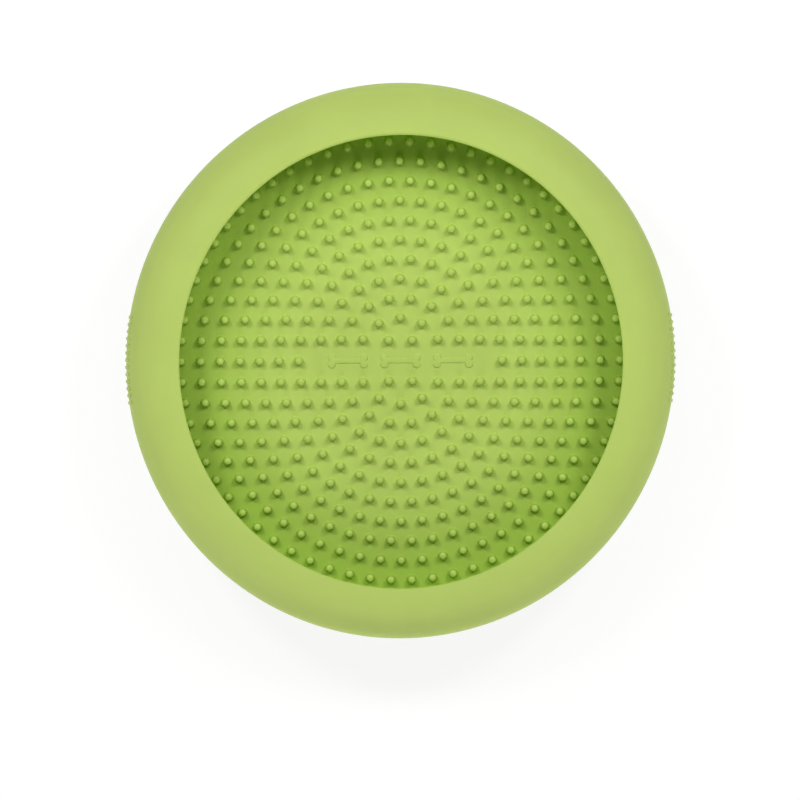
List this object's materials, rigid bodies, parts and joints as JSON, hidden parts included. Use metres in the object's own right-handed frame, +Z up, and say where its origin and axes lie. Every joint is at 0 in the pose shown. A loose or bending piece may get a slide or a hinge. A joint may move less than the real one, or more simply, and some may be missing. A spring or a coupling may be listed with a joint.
{
  "type": "pet lick bowl",
  "caption": "Round rubber lick bowl with a thick rolled rim, a floor of small upright nubs for spreading soft food, and a suction cup under the base that holds it to a smooth surface.",
  "frame": {"origin": "on the bowl's axis, on the surface that the suction cup stands on", "axes": "+Z up along the bowl's axis, +Y towards the top of the picture, the release tab towards -Y"},
  "size_m": [0.18, 0.18, 0.042],
  "materials": {
    "bowl_rubber": "satin moulded rubber",
    "mat_rubber": "satin moulded rubber",
    "cup_rubber": "smooth soft rubber",
    "stud_plastic": "satin moulded plastic"
  },
  "bodies": {
    "bowl": {"bowl_shell": "bowl_rubber", "lick_mat": "mat_rubber"},
    "stud": {"retaining_stud": "stud_plastic"},
    "cup": {"suction_cup": "cup_rubber"}
  },
  "joints": [
    {"name": "cup_swivel", "type": "hinge", "parent": "bowl", "child": "stud", "pos_m": [0, 0, 0.0133], "axis": [0, 0, 1], "continuous": true},
    {"name": "cup_press", "type": "slide", "parent": "stud", "child": "cup", "axis": [0, 0, 1], "range_m": [0, 0.004], "stiffness_N_per_m": 6000, "deforming": ["suction_cup"]}
  ]
}
